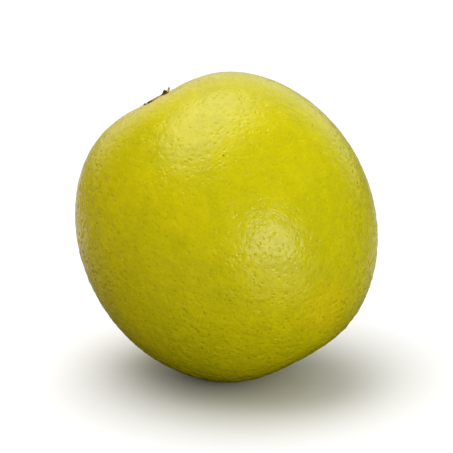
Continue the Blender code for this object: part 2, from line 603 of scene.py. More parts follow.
@dataclass(frozen=True)
class OilGlands:
    """The pattern of oil glands, shared by the rind's relief and its colour.

    Attributes:
        spacing_mm: Spacing of the scattered points that the glands lie at.
        softness: How softly one dimple passes into the next.
        dimple_share: Radius of the dimple over a gland, as a share of the spacing.
        pore_share: Radius of the pore in its middle, as a share of the spacing.
        shallowest: Depth of the shallowest dimples as a share of the deepest.
        draws: The random numbers that give the shallowest and the deepest dimples.
        fine_spacing_mm: Spacing of the fine pits between them.
        fine_share: Radius of a fine pit, as a share of their spacing.
        wander_mm: How far the pattern is pushed about, so that it has no rows.
        wander_size_mm: Size of the stretches that are pushed together.
        stem_end_mm: Where the stem end is.
        stem_end_gain: How much deeper the relief is there.
        stem_end_reach_mm: How far from there the deeper relief reaches.
        low_gain: How much deeper the relief is on the lower part.
        low_mm: Heights where it is deepest and where it is shallowest.
        flank_gain: How much deeper the relief is on the two flanks.
        flank_mm: Distances to the side where the flanks begin and where they are deepest.
    """

    spacing_mm: float = 1.12
    softness: float = 0.2
    dimple_share: float = 0.55
    pore_share: float = 0.25
    shallowest: float = 0.25
    draws: Span = (0.1, 0.9)
    fine_spacing_mm: float = 0.62
    fine_share: float = 0.5
    wander_mm: float = 0.9
    wander_size_mm: float = 3.0
    stem_end_mm: Point = ORIGIN
    stem_end_gain: float = 2.2
    stem_end_reach_mm: float = 24.0
    low_gain: float = 1.9
    low_mm: Span = (14.0, 52.0)
    flank_gain: float = 2.0
    flank_mm: Span = (22.0, 33.0)

    def pattern(self, wiring: Wiring, place: Socket) -> "GlandPattern":
        """Wire the pattern.

        Args:
            wiring: The tree to wire.
            place: Where to read the pattern, in millimetres in the model's frame.

        Returns:
            The sockets that say how deep each place lies in a dimple, a pore or a fine pit.
        """
        wander = wiring.noise(place, self.wander_size_mm).node.outputs["Color"]
        pushed = wiring.vector_math("ADD", place, wiring.scale(wander, self.wander_mm))
        cells = wiring.cells(pushed, self.spacing_mm, self.softness)
        depth = wiring.ramp(cells.outputs["Color"], *self.draws, self.shallowest, 1.0)
        depth = wiring.product(depth, self.gain(wiring, place))
        distance = cells.outputs["Distance"]
        fine_distance = wiring.cells(place, self.fine_spacing_mm).outputs["Distance"]
        return GlandPattern(
            dimple=wiring.product(wiring.fade(distance, self.dimple_share), depth),
            pore=wiring.product(wiring.fade(distance, self.pore_share), depth),
            fine=wiring.fade(fine_distance, self.fine_share),
        )

    def gain(self, wiring: Wiring, place: Socket) -> Socket:
        """Give how much deeper the relief is near the stem end, on the flanks and low down.

        Args:
            wiring: The tree to wire.
            place: Where to read it, in millimetres in the model's frame.

        Returns:
            1 where the relief is shallowest, and more elsewhere.
        """
        from_stem = wiring.distance(place, self.stem_end_mm)
        near_stem = wiring.ramp(from_stem, 0.0, self.stem_end_reach_mm, self.stem_end_gain, 1.0)
        sideways = wiring.math("ABSOLUTE", wiring.axis(place, "X"))
        flank = wiring.ramp(sideways, *self.flank_mm, 1.0, self.flank_gain)
        return wiring.product(wiring.math("MAXIMUM", near_stem, flank), self.gain_low_down(wiring, place))

    def gain_low_down(self, wiring: Wiring, place: Socket) -> Socket:
        """Give how much deeper the relief is for a place's height alone."""
        return wiring.ramp(wiring.axis(place, "Z"), *self.low_mm, self.low_gain, 1.0)


@dataclass(frozen=True)
class GlandPattern:
    """Sockets of the gland pattern: 0 outside, and 1 or more at the bottom of a deep pit.

    Attributes:
        dimple: How deep a place lies in the dimple over a gland.
        pore: How deep it lies in the pore in the dimple's middle.
        fine: How deep it lies in a fine pit between the glands.
    """

    dimple: Socket
    pore: Socket
    fine: Socket


@dataclass(frozen=True)
class RindRelief:
    """The relief that the rind's mesh carries: dimples and soft unevenness, all sunk inwards.

    Attributes:
        glands: The pattern of the pits.
        dimple_depth_mm: Depth of a dimple.
        wave_depth_mm: Depth of the soft unevenness.
        wave_size_mm: Size of the soft unevenness.
        pebble_depth_mm: Depth of the pebbled swellings between the pits.
        pebble_size_mm: Size of those swellings.
    """

    glands: OilGlands
    dimple_depth_mm: float = 0.03
    wave_depth_mm: float = 0.14
    wave_size_mm: float = 2.4
    pebble_depth_mm: float = 0.125
    pebble_size_mm: float = 1.3

    def group(self) -> bpy.types.NodeTree:
        """Make the geometry nodes that sink the points of a mesh along their normals.

        Returns:
            The node group, for a modifier of the kind Nodes.
        """
        tree = bpy.data.node_groups.new("rind_relief", "GeometryNodeTree")
        for way in ("INPUT", "OUTPUT"):
            tree.interface.new_socket(name="Geometry", in_out=way, socket_type="NodeSocketGeometry")
        wiring = Wiring(tree)
        place = wiring.scale(wiring.node("GeometryNodeInputPosition").outputs[0], 1.0 / MM)
        dimples = wiring.product(self.glands.pattern(wiring, place).dimple, self.dimple_depth_mm)
        waves = wiring.product(wiring.noise(place, self.wave_size_mm), self.wave_depth_mm)
        waves = wiring.product(waves, self.glands.gain_low_down(wiring, place))
        swellings = wiring.noise(place, self.pebble_size_mm, detail=0.0)
        pebbles = wiring.product(swellings, self.pebble_depth_mm)
        pebbles = wiring.product(pebbles, self.glands.gain(wiring, place))
        depth = wiring.total(dimples, wiring.total(waves, pebbles))
        normal = wiring.node("GeometryNodeInputNormal").outputs[0]
        mover = wiring.node("GeometryNodeSetPosition")
        wiring.feed(mover.inputs["Geometry"], wiring.node("NodeGroupInput").outputs[0])
        wiring.feed(mover.inputs["Offset"], wiring.scale(normal, wiring.product(depth, -MM)))
        wiring.feed(wiring.node("NodeGroupOutput").inputs[0], mover.outputs["Geometry"])
        return tree


@dataclass(frozen=True)
class Patch:
    """A broad patch of rind whose colour differs from the rest.

    Attributes:
        middle_mm: Its middle, seen from the middle of the fruit.
        reach_mm: How far from there it has faded out.
        share: How much of its colour shows in its middle.
        colour: Its colour.
    """

    middle_mm: Point
    reach_mm: float
    share: float
    colour: Colour


@dataclass(frozen=True)
class Dots:
    """Small round dots, scattered over the rind.

    Attributes:
        spacing_mm: Spacing of the scattered points that they lie at.
        radius_share: Radius of a dot, as a share of the spacing.
        rarity: Share of the points that are left bare.
        strength: How much of the dots' colour shows.
        colour: Their colour.
    """

    spacing_mm: float
    radius_share: float
    rarity: float
    strength: float
    colour: Colour

    def shown(self, wiring: Wiring, place: Socket) -> Socket:
        """Give how much of the dots' colour shows at a place.

        Args:
            wiring: The tree to wire.
            place: Where to read the pattern, in millimetres.

        Returns:
            Their strength in a dot, and 0 outside.
        """
        cells = wiring.cells(place, self.spacing_mm)
        edge = (0.5 * self.radius_share, self.radius_share)
        near = wiring.ramp(cells.outputs["Distance"], *edge, 1.0, 0.0)
        kept = wiring.math("GREATER_THAN", cells.outputs["Color"], self.rarity)
        return wiring.product(wiring.product(near, kept), self.strength)


@dataclass(frozen=True)
class RindFinish:
    """Waxy yellow-green rind, mottled, with glands darkened by their own colour and by painted shade in
    their pits, specks and a corky ring at the calyx.

    Attributes:
        glands: The pattern of the pits.
        lie: How the fruit lies.
        stem_pole_mm: Distance from the fruit's middle to its skin at the stem end.
        blossom_pole_mm: Distance from the fruit's middle to its skin at the blossom end.
        green: The greener of the two main colours.
        yellow: The yellower one.
        main_size_mm: Size of their stretches.
        main_edge: Readings of the noise between which one passes into the other.
        patches: A warmer patch on the left, a greener one on the right, and a golden blush low on the
            right.
        golden: Colour round the stem end.
        golden_mm: Distances from the stem end where it starts to fade and where it is gone.
        golden_share: How much of it shows at the stem end.
        light_tint: What the lighter spots of the mottling multiply the colour by.
        dark_tint: What its darker spots multiply the colour by.
        mottle_size_mm: Size of the coarse mottling.
        mottle_share: Strength of the coarse mottling.
        fine_mottle_size_mm: Size of the fine mottling.
        fine_mottle_share: Strength of the fine mottling, which is stronger low down.
        gland_colour_and_pit_shade: What a gland multiplies the colour by: its own darker colour and
            painted shade in its pit.
        dimple_share: How much of that tint a dimple shows.
        pore_share: How much of it a pore shows.
        fine_share: How much of it a fine pit shows.
        dots: Pale dots and dark specks.
        rub_mark: Colour of the faint rub marks.
        rub_size_mm: Size of the marks.
        rub_edge: Readings of the noise between which a mark begins.
        rub_share: How much of their colour shows.
        cork: Colour of the corky ring and of the scar.
        crumb_size_mm: Size of the crumbs that fray their edges.
        crumb_reach_mm: How far the edges are frayed.
        ring_mm: Distances from the stem end, frayed, where the ring ends.
        ring_share: How much of the cork shows in the ring.
        scar_mm: Distances from the blossom end, frayed, where the scar ends.
        scar_share: How much of the cork shows in the scar.
        gloss_size_mm: Size of the duller and the glossier spots.
        roughness: Roughness of the glossiest and of the dullest spots.
        grain_size_mm: Size of the skin's finest grain.
        grain_height_mm: Height of that grain.
        dimple_depth_mm: Depth that a dimple has besides what the mesh carries.
        pore_depth_mm: Depth of a pore.
        fine_depth_mm: Depth of a fine pit.
    """

    glands: OilGlands
    lie: Lie
    stem_pole_mm: float
    blossom_pole_mm: float
    green: Colour = (0.52, 0.475, 0.002, 1.0)
    yellow: Colour = (0.57, 0.51, 0.002, 1.0)
    main_size_mm: float = 14.0
    main_edge: Span = (0.35, 0.65)
    patches: tuple[Patch, ...] = (
        Patch(middle_mm=(-34.0, 2.0, -6.0), reach_mm=48.0, share=0.9, colour=(0.57, 0.452, 0.002, 1.0)),
        Patch(middle_mm=(26.0, -18.0, 14.0), reach_mm=42.0, share=0.8, colour=(0.54, 0.505, 0.002, 1.0)),
        Patch(middle_mm=(22.0, -24.5, -12.0), reach_mm=10.0, share=0.7, colour=(0.68, 0.54, 0.006, 1.0)),
    )
    golden: Colour = (0.68, 0.54, 0.006, 1.0)
    golden_mm: Span = (4.0, 22.0)
    golden_share: float = 0.62
    light_tint: Colour = (1.09, 1.07, 1.0, 1.0)
    dark_tint: Colour = (0.86, 0.865, 0.8, 1.0)
    mottle_size_mm: float = 3.2
    mottle_share: float = 0.32
    fine_mottle_size_mm: float = 0.62
    fine_mottle_share: float = 0.3
    # The glands' own darker colour together with painted shade in their pits
    gland_colour_and_pit_shade: Colour = (0.84, 0.855, 0.66, 1.0)
    dimple_share: float = 0.28
    pore_share: float = 0.2
    fine_share: float = 0.06
    dots: tuple[Dots, ...] = (
        Dots(
            spacing_mm=3.1,
            radius_share=0.12,
            rarity=0.55,
            strength=0.35,
            colour=(0.76, 0.70, 0.05, 1.0),
        ),
        Dots(
            spacing_mm=5.7,
            radius_share=0.05,
            rarity=0.4,
            strength=0.75,
            colour=(0.10, 0.07, 0.01, 1.0),
        ),
    )
    rub_mark: Colour = (0.52, 0.40, 0.04, 1.0)
    rub_size_mm: float = 11.0
    rub_edge: Span = (0.62, 0.72)
    rub_share: float = 0.22
    cork: Colour = (0.30, 0.17, 0.04, 1.0)
    crumb_size_mm: float = 0.9
    crumb_reach_mm: float = 1.6
    ring_mm: Span = (3.6, 5.2)
    ring_share: float = 0.85
    scar_mm: Span = (1.6, 2.6)
    scar_share: float = 0.9
    gloss_size_mm: float = 3.0
    roughness: Span = (0.14, 0.22)
    grain_size_mm: float = 0.35
    grain_height_mm: float = 0.006
    dimple_depth_mm: float = 0.08
    pore_depth_mm: float = 0.026
    fine_depth_mm: float = 0.03

    def material(self) -> bpy.types.Material:
        """Make the rind's material.

        Returns:
            The material.
        """
        coat = Coat("waxy_rind")
        place = coat.place_mm()
        own = coat.own_mm(self.lie)
        wiring = coat.wiring
        glands = self.glands.pattern(wiring, place)
        colour = self.broad_colour(wiring, place, own)
        colour = self.mottling(wiring, place, colour, glands)
        colour = self.marks(wiring, place, colour)
        coat.set_colour(self.ends(wiring, own, colour))
        gloss = wiring.noise(place, self.gloss_size_mm, detail=3.0)
        wiring.feed(coat.shader.inputs["Roughness"], wiring.ramp(gloss, *SOFT_EDGE, *self.roughness))
        coat.set_values(ior=1.45, specular_ior_level=0.5)
        coat.raise_height(self.height(wiring, place, glands))
        return coat.material

    def broad_colour(self, wiring: Wiring, place: Socket, own: Socket) -> Socket:
        """Give the broad change of colour: warmer on the left, greener on the right.

        Args:
            wiring: The tree to wire.
            place: The place in millimetres, in the model's frame.
            own: The place in millimetres, in the fruit's own frame.

        Returns:
            The colour.
        """
        broad = wiring.noise(own, self.main_size_mm, detail=3.0)
        colour = wiring.mix(wiring.ramp(broad, *self.main_edge), self.green, self.yellow)
        middle = Vector(self.lie.middle) / MM
        for patch in self.patches:
            away = wiring.distance(place, tuple(middle + Vector(patch.middle_mm)))
            colour = wiring.mix(wiring.fade(away, patch.reach_mm, patch.share), colour, patch.colour)
        from_stem = wiring.distance(own, (0.0, 0.0, self.stem_pole_mm))
        shown = wiring.ramp(from_stem, *self.golden_mm, self.golden_share, 0.0)
        return wiring.mix(shown, colour, self.golden)

    def mottling(self, wiring: Wiring, place: Socket, colour: Socket, glands: GlandPattern) -> Socket:
        """Add mottling, and darken the glands with their own colour and with painted shade in their pits.

        Args:
            wiring: The tree to wire.
            place: The place in millimetres, in the model's frame.
            colour: The colour so far.
            glands: The pattern of the pits.

        Returns:
            The colour.
        """
        fine_share = wiring.product(self.glands.gain_low_down(wiring, place), self.fine_mottle_share)
        for size, share in (
            (self.mottle_size_mm, self.mottle_share),
            (self.fine_mottle_size_mm, fine_share),
        ):
            spots = wiring.ramp(wiring.noise(place, size, detail=1.0), *SOFT_EDGE)
            tint = wiring.mix(spots, self.dark_tint, self.light_tint)
            colour = wiring.mix(share, colour, tint, "MULTIPLY")
        # The glands are darkened for their own colour and as painted shade in the pits
        for pit, share in (
            (glands.dimple, self.dimple_share),
            (glands.pore, self.pore_share),
            (glands.fine, self.fine_share),
        ):
            shown = wiring.product(wiring.math("MINIMUM", pit, self.glands.low_gain), share)
            colour = wiring.mix(shown, colour, self.gland_colour_and_pit_shade, "MULTIPLY")
        return colour

    def marks(self, wiring: Wiring, place: Socket, colour: Socket) -> Socket:
        """Add pale dots, dark specks and faint rub marks.

        Args:
            wiring: The tree to wire.
            place: The place in millimetres, in the model's frame.
            colour: The colour so far.

        Returns:
            The colour.
        """
        for dots in self.dots:
            colour = wiring.mix(dots.shown(wiring, place), colour, dots.colour)
        rubbed = wiring.noise(place, self.rub_size_mm, detail=6.0, roughness=0.7)
        shown = wiring.ramp(rubbed, *self.rub_edge, 0.0, self.rub_share)
        return wiring.mix(shown, colour, self.rub_mark)

    def ends(self, wiring: Wiring, own: Socket, colour: Socket) -> Socket:
        """Add the corky ring round the calyx and the scar at the blossom end.

        Args:
            wiring: The tree to wire.
            own: The place in millimetres, in the fruit's own frame.
            colour: The colour so far.

        Returns:
            The colour.
        """
        crumbs = wiring.noise(own, self.crumb_size_mm, detail=3.0)
        crumbs = wiring.product(crumbs, self.crumb_reach_mm)
        for pole, edge, share in (
            (self.stem_pole_mm, self.ring_mm, self.ring_share),
            (-self.blossom_pole_mm, self.scar_mm, self.scar_share),
        ):
            frayed = wiring.total(wiring.distance(own, (0.0, 0.0, pole)), crumbs)
            colour = wiring.mix(wiring.ramp(frayed, *edge, share, 0.0), colour, self.cork)
        return colour

    def height(self, wiring: Wiring, place: Socket, glands: GlandPattern) -> Socket:
        """Give the fine relief that the mesh can't carry.

        Args:
            wiring: The tree to wire.
            place: The place in millimetres, in the model's frame.
            glands: The pattern of the pits.

        Returns:
            The height in millimetres.
        """
        height = wiring.product(wiring.noise(place, self.grain_size_mm), self.grain_height_mm)
        for pit, depth in (
            (glands.dimple, self.dimple_depth_mm),
            (glands.pore, self.pore_depth_mm),
            (glands.fine, self.fine_depth_mm),
        ):
            height = wiring.math("SUBTRACT", height, wiring.product(pit, depth))
        return height


@dataclass(frozen=True)
class SepalFinish:
    """Dry sepals: dark brown tips, tan roots and fibres that run outwards.

    Attributes:
        lie: How the fruit lies.
        root: Colour near the stalk.
        tip: Colour of the tips.
        dried_mm: Distances from the stem's axis where the tips' colour begins and is full.
        blotch_size_mm: Size of the blotches that the two colours meet in.
        fibre_tint: What a fibre multiplies the colour by.
        fibre_size_mm: Size of the fibres.
        fibre_edge: Readings of the noise between which a fibre begins.
        fibre_share: How much of their tint shows.
        fibre_depth_mm: Depth of a fibre.
    """

    lie: Lie
    root: Colour = (0.62, 0.44, 0.20, 1.0)
    tip: Colour = (0.16, 0.095, 0.03, 1.0)
    dried_mm: Span = (2.95, 3.5)
    blotch_size_mm: float = 0.9
    fibre_tint: Colour = (0.76, 0.68, 0.58, 1.0)
    fibre_size_mm: float = 0.22
    fibre_edge: Span = (0.4, 0.65)
    fibre_share: float = 0.7
    fibre_depth_mm: float = 0.05

    def material(self) -> bpy.types.Material:
        """Make the sepals' material.

        Returns:
            The material.
        """
        coat = Coat("dry_sepals")
        wiring = coat.wiring
        own = coat.own_mm(self.lie)
        blotches = wiring.noise(own, self.blotch_size_mm, detail=3.0)
        blotches = wiring.math("SUBTRACT", blotches, NOISE_MIDDLE)
        dried = wiring.ramp(wiring.total(blotches, coat.from_stem_axis(own)), *self.dried_mm)
        colour = wiring.mix(dried, self.root, self.tip)
        fibres = wiring.ramp(wiring.noise(own, self.fibre_size_mm, roughness=0.6), *self.fibre_edge)
        shown = wiring.product(fibres, self.fibre_share)
        coat.set_colour(wiring.mix(shown, colour, self.fibre_tint, "MULTIPLY"))
        coat.set_values(roughness=0.85)
        coat.raise_height(wiring.product(fibres, -self.fibre_depth_mm))
        return coat.material


@dataclass(frozen=True)
class StalkFinish:
    """The snapped stalk: tan, fibrous, paler in the middle and darker at its rim.

    Attributes:
        lie: How the fruit lies.
        wood: Its main colour.
        pith: Colour of its middle.
        bark: Colour of its rim.
        gap: Colour of the gaps between the fibres.
        pith_mm: Distances from the stem's axis where the pith starts to fade and where it is gone.
        bark_mm: Distances from the stem's axis where the bark begins and is full.
        bark_share: How much of the bark's colour shows.
        fibre_size_mm: Size of the fibres.
        gap_edge: Readings of the noise between which a gap begins.
        gap_share: How much of the gaps' colour shows.
        fibre_height_mm: Height of a fibre.
    """

    lie: Lie
    wood: Colour = (0.58, 0.39, 0.13, 1.0)
    pith: Colour = (0.68, 0.53, 0.28, 1.0)
    bark: Colour = (0.60, 0.42, 0.22, 1.0)
    gap: Colour = (0.24, 0.14, 0.05, 1.0)
    pith_mm: Span = (0.5, 1.0)
    bark_mm: Span = (1.4, 1.8)
    bark_share: float = 0.9
    fibre_size_mm: float = 0.25
    gap_edge: Span = (0.5, 0.68)
    gap_share: float = 0.6
    fibre_height_mm: float = 0.12

    def material(self) -> bpy.types.Material:
        """Make the stalk's material.

        Returns:
            The material.
        """
        coat = Coat("snapped_stalk")
        wiring = coat.wiring
        own = coat.own_mm(self.lie)
        from_axis = coat.from_stem_axis(own)
        fibres = wiring.noise(own, self.fibre_size_mm, detail=3.0, roughness=0.6)
        colour = wiring.mix(wiring.ramp(from_axis, *self.pith_mm), self.pith, self.wood)
        colour = wiring.mix(wiring.ramp(from_axis, *self.bark_mm, 0.0, self.bark_share), colour, self.bark)
        colour = wiring.mix(wiring.ramp(fibres, *self.gap_edge, 0.0, self.gap_share), colour, self.gap)
        coat.set_colour(colour)
        coat.set_values(roughness=0.8)
        coat.raise_height(wiring.product(fibres, self.fibre_height_mm))
        return coat.material


@dataclass(frozen=True)
class PaperFinish:
    """Plain white studio paper with a faint grain, which throws little soft light back up: painted shade,
    darkest under the fruit.

    In the fruit's gloss the paper is dark, as painted shade, apart from a bright strip behind the fruit
    and a lit path at the front right, which are painted light that the fruit shows as painted reflections.

    Attributes:
        white: The paper's colour.
        grain: Colour of its grain.
        grain_size_mm: Size of the grain.
        painted_shade_thrown_back: What share of the soft light the paper throws back under the fruit.
        far_thrown_back: What share it throws back far from it.
        thrown_back_mm: Distances from the fruit where the first ends and the second begins.
        painted_shade_in_gloss: Brightness of the dark paper in the gloss.
        painted_strip_in_gloss: Brightness of the strip behind the fruit in the gloss.
        behind_mm: How far back the strip begins and is full.
        left_mm: Where the strip begins and is full on the left.
        right_mm: Where the strip is full and ends on the right.
        bare_at_sides: How much of the strip is left beyond them.
        painted_path_towards: Direction of the lit path, seen from the fruit.
        painted_path_from_mm: How far out the path begins and is full.
        painted_path_spread: Cosines of the angles from that direction where the path ends and is full.
        painted_light_path_in_gloss: Brightness of the lit path in the gloss.
    """

    white: Colour = (0.92, 0.92, 0.93, 1.0)
    grain: Colour = (0.90, 0.90, 0.91, 1.0)
    grain_size_mm: float = 1.5
    # Painted shade: soft light sees the paper darker than it looks, darkest under the fruit
    painted_shade_thrown_back: Colour = (0.38, 0.38, 0.38, 1.0)
    far_thrown_back: Colour = (0.78, 0.78, 0.78, 1.0)
    thrown_back_mm: Span = (20.0, 200.0)
    # Painted shade and painted light that only the fruit's gloss sees
    painted_shade_in_gloss: Colour = (0.03, 0.03, 0.03, 1.0)
    painted_strip_in_gloss: Colour = (0.66, 0.66, 0.66, 1.0)
    behind_mm: Span = (-12.0, 110.0)
    left_mm: Span = (-200.0, -75.0)
    right_mm: Span = (60.0, 150.0)
    bare_at_sides: float = 0.12
    painted_path_towards: Point = (0.55, -0.835, 0.0)
    painted_path_from_mm: Span = (50.0, 115.0)
    painted_path_spread: Span = (0.87, 0.985)
    painted_light_path_in_gloss: Colour = (0.98, 0.98, 0.96, 1.0)

    def material(self) -> bpy.types.Material:
        """Make the paper's material.

        Returns:
            The material.
        """
        coat = Coat("studio_paper")
        wiring = coat.wiring
        place = coat.place_mm()
        rays = wiring.node("ShaderNodeLightPath").outputs
        paper = wiring.mix(wiring.noise(place, self.grain_size_mm, detail=3.0), self.white, self.grain)
        # In the gloss the paper shows painted shade and painted light
        paper = wiring.mix(rays["Is Glossy Ray"], paper, self.in_gloss(wiring, place))
        # Soft light sees painted shade on the paper
        coat.set_colour(wiring.mix(rays["Is Diffuse Ray"], paper, self.thrown_back(wiring, place)))
        coat.set_values(roughness=0.9, specular_ior_level=0.1)
        return coat.material

    def in_gloss(self, wiring: Wiring, place: Socket) -> Socket:
        """Give the paper's brightness in the fruit's gloss: painted shade, with a strip and a path of
        painted light.

        Args:
            wiring: The tree to wire.
            place: The place on the paper, in millimetres.

        Returns:
            The brightness, as a colour.
        """
        # Painted light: a bright strip behind the fruit, seen only in its gloss
        sideways = wiring.axis(place, "X")
        left = wiring.ramp(sideways, *self.left_mm, self.bare_at_sides, 1.0)
        right = wiring.ramp(sideways, *self.right_mm, 1.0, self.bare_at_sides)
        behind = wiring.ramp(wiring.axis(place, "Y"), *self.behind_mm)
        strip = wiring.product(behind, wiring.product(left, right))
        colour = wiring.mix(strip, self.painted_shade_in_gloss, self.painted_strip_in_gloss)
        # Painted light: a lit path at the front right, which the fruit shows as a painted reflection under
        # its front highlight
        along = wiring.vector_math("DOT_PRODUCT", place, self.painted_path_towards)
        spread = wiring.math("DIVIDE", along, wiring.distance(place, ORIGIN))
        lit = wiring.product(wiring.ramp(spread, *self.painted_path_spread), wiring.ramp(along, *self.painted_path_from_mm))
        return wiring.mix(lit, colour, self.painted_light_path_in_gloss)

    def thrown_back(self, wiring: Wiring, place: Socket) -> Socket:
        """Give how much soft light the paper throws back up at a place, least near the fruit, as painted
        shade.
        """
        far = wiring.ramp(wiring.distance(place, ORIGIN), *self.thrown_back_mm)
        return wiring.mix(far, self.painted_shade_thrown_back, self.far_thrown_back)


# The pieces of the orange


def dress(piece: Piece, finish: bpy.types.Material, solid: Solid) -> None:
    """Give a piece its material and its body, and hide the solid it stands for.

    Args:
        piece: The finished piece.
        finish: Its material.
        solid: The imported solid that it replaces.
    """
    piece.data.materials.clear()
    piece.data.materials.append(finish)
    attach(piece, BODY)
    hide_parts(solid.value)
    LOG.info("%s: %d faces for %s", piece.name, len(piece.data.polygons), solid.value)


@dataclass
class Rind:
    """The fruit's skin: a closed body that follows the law, with relief, pressed on the ground.

    Attributes:
        outline: The law of the fruit's form.
        lie: How the fruit lies.
        glands: The pattern of the pits.
        doublings: How often the starting cube's faces are divided.
        press_band: Height over which the skin eases into its flat spot.
    """

    outline: Outline
    lie: Lie
    glands: OilGlands
    doublings: int = 7
    press_band: float = 0.0004

    def build(self) -> Piece:
        """Model the skin from a rounded cube, whose faces stay even all over.

        Returns:
            The rind.
        """
        deselect_all()
        bpy.ops.mesh.primitive_cube_add(size=2.0 * self.outline.waist_radius)
        rind = name_new("rind")
        apply_modifier(rind, "SUBSURF", levels=self.doublings, render_levels=self.doublings)
        self.follow_outline(rind)
        apply_modifier(rind, "NODES", node_group=RindRelief(self.glands).group())
        self.press_flat(rind)
        bpy.ops.object.shade_smooth()
        return rind

    def follow_outline(self, rind: Piece) -> None:
        """Move every point of the rounded cube out to the skin, and lay the fruit down.

        Args:
            rind: The rounded cube, round the origin.
        """
        points = read_points(rind)
        reach = np.linalg.norm(points, axis=1)
        polar = np.arccos(points[:, 2] / reach)
        azimuth = np.arctan2(points[:, 1], points[:, 0])
        skin = self.outline.points(polar, azimuth, np.zeros(len(points)))
        write_points(rind, self.lie.place(skin))

    def press_flat(self, rind: Piece) -> None:
        """Press the underside flat on the ground, with a soft edge.

        Args:
            rind: The rind, where it lies.
        """
        points = read_points(rind)
        height = points[:, 2]
        band = self.press_band
        eased = (height + band) ** 2 / (4.0 * band)
        points[:, 2] = np.where(height > band, height, np.where(height < -band, 0.0, eased))
        write_points(rind, points)

    def finish(self) -> bpy.types.Material:
        """Make the rind's material, with its marks at the two ends.

        Returns:
            The material.
        """
        return RindFinish(
            glands=self.glands,
            lie=self.lie,
            stem_pole_mm=self.outline.pole_radius(0.0) / MM,
            blossom_pole_mm=self.outline.pole_radius(math.pi) / MM,
        ).material()


def lay_on_skin(piece: Piece, outline: Outline, lie: Lie, seat: float, turn: float) -> None:
    """Bend a flat piece, modelled round the origin, onto the skin at the stem end.

    Args:
        piece: The piece, with its height along +Z.
        outline: The law of the fruit's form.
        lie: How the fruit lies.
        seat: Height of the piece's origin above the skin.
        turn: Angle that the piece is turned by round the stem axis.
    """
    points = read_points(piece)
    polar = np.hypot(points[:, 0], points[:, 1]) / outline.pole_radius(0.0)
    azimuth = np.arctan2(points[:, 1], points[:, 0]) + turn
    write_points(piece, lie.place(outline.points(polar, azimuth, points[:, 2] + seat)))


@dataclass
class Calyx:
    """The dry calyx: a ring drawn out into five curled, crinkled sepals.

    Attributes:
        outline: The law of the fruit's form.
        lie: How the fruit lies.
        sepals: Number of sepals.
        points_per_sepal: Number of points along the rim of each.
        bands: Number of bands between the inner edge and the rim.
        inner_radius: Radius of the inner edge, under the stalk.
        notch_radius: Radius of the rim between two sepals.
        tip_radius: Radius of the rim at a sepal's tip.
        side_curve: How the rim runs from tip to notch, straight at 1 and blunter above.
        thickness: Thickness of the ring and the sepals.
        seat: Height of the ring above the skin.
        turn: Angle that the calyx is turned by round the stem axis.
        least_curl: How high the least curled tip stands.
        most_curl: How high the most curled tip stands.
        most_curled_towards: Azimuth of the most curled side.
        crinkle: How far the surface is crinkled.
        crinkle_size: Size of the crinkles.
    """

    outline: Outline
    lie: Lie
    sepals: int = 5
    points_per_sepal: int = 12
    bands: int = 5
    inner_radius: float = 0.00195
    notch_radius: float = 0.0027
    tip_radius: float = 0.0037
    side_curve: float = 1.2
    thickness: float = 0.00036
    seat: float = 0.00005
    turn: float = math.radians(12)
    least_curl: float = 0.00025
    most_curl: float = 0.00145
    most_curled_towards: float = math.radians(-165)
    crinkle: float = 0.00035
    crinkle_size: float = 0.0009

    def build(self) -> Piece:
        """Model the calyx flat, from a circle extruded outwards, and lay it on the skin.

        Returns:
            The calyx.
        """
        deselect_all()
        count = self.sepals * self.points_per_sepal
        bpy.ops.mesh.primitive_circle_add(vertices=count, radius=self.inner_radius)
        calyx = name_new("sepals")
        edit_all()
        reach = self.inner_radius
        band = (self.notch_radius - self.inner_radius) / self.bands
        for _ in range(self.bands):
            factor = (reach + band) / reach
            bpy.ops.mesh.extrude_edges_move()
            bpy.ops.transform.resize(value=(factor, factor, 1.0))
            reach += band
        deselect_all()
        self.draw_out_sepals(calyx)
        calyx.select_set(True)
        apply_modifier(calyx, "SOLIDIFY", thickness=self.thickness, offset=0.0)
        apply_modifier(calyx, "SUBSURF", levels=SMOOTHING_LEVELS, render_levels=SMOOTHING_LEVELS)
        crinkles = clouds("crinkles", self.crinkle_size)
        apply_modifier(calyx, "DISPLACE", texture=crinkles, strength=self.crinkle, mid_level=NOISE_MIDDLE)
        edit_all()
        bpy.ops.mesh.normals_make_consistent(inside=False)
        deselect_all()
        lay_on_skin(calyx, self.outline, self.lie, self.seat, self.turn)
        calyx.select_set(True)
        bpy.ops.object.shade_smooth()
        return calyx

    def finish(self) -> bpy.types.Material:
        """Make the dry sepals' material."""
        return SepalFinish(self.lie).material()

    def draw_out_sepals(self, calyx: Piece) -> None:
        """Pull the flat ring's rim out to five points and curl them up.

        Args:
            calyx: The flat ring, round the origin.
        """
        points = read_points(calyx)
        azimuth = np.arctan2(points[:, 1], points[:, 0])
        across = np.hypot(points[:, 0], points[:, 1]) - self.inner_radius
        across /= self.notch_radius - self.inner_radius
        half = math.pi / self.sepals
        off_middle = np.abs((azimuth + half) % (2.0 * half) - half) / half
        sepal = 1.0 - off_middle ** self.side_curve
        outer = self.notch_radius + (self.tip_radius - self.notch_radius) * sepal
        reach = self.inner_radius + (outer - self.inner_radius) * across
        curled = np.clip(np.cos(azimuth + self.turn - self.most_curled_towards), 0.0, 1.0) ** 2
        curl = self.least_curl + (self.most_curl - self.least_curl) * curled
        height = curl * sepal * across ** 2
        write_points(calyx, np.stack((reach * np.cos(azimuth), reach * np.sin(azimuth), height), 1))


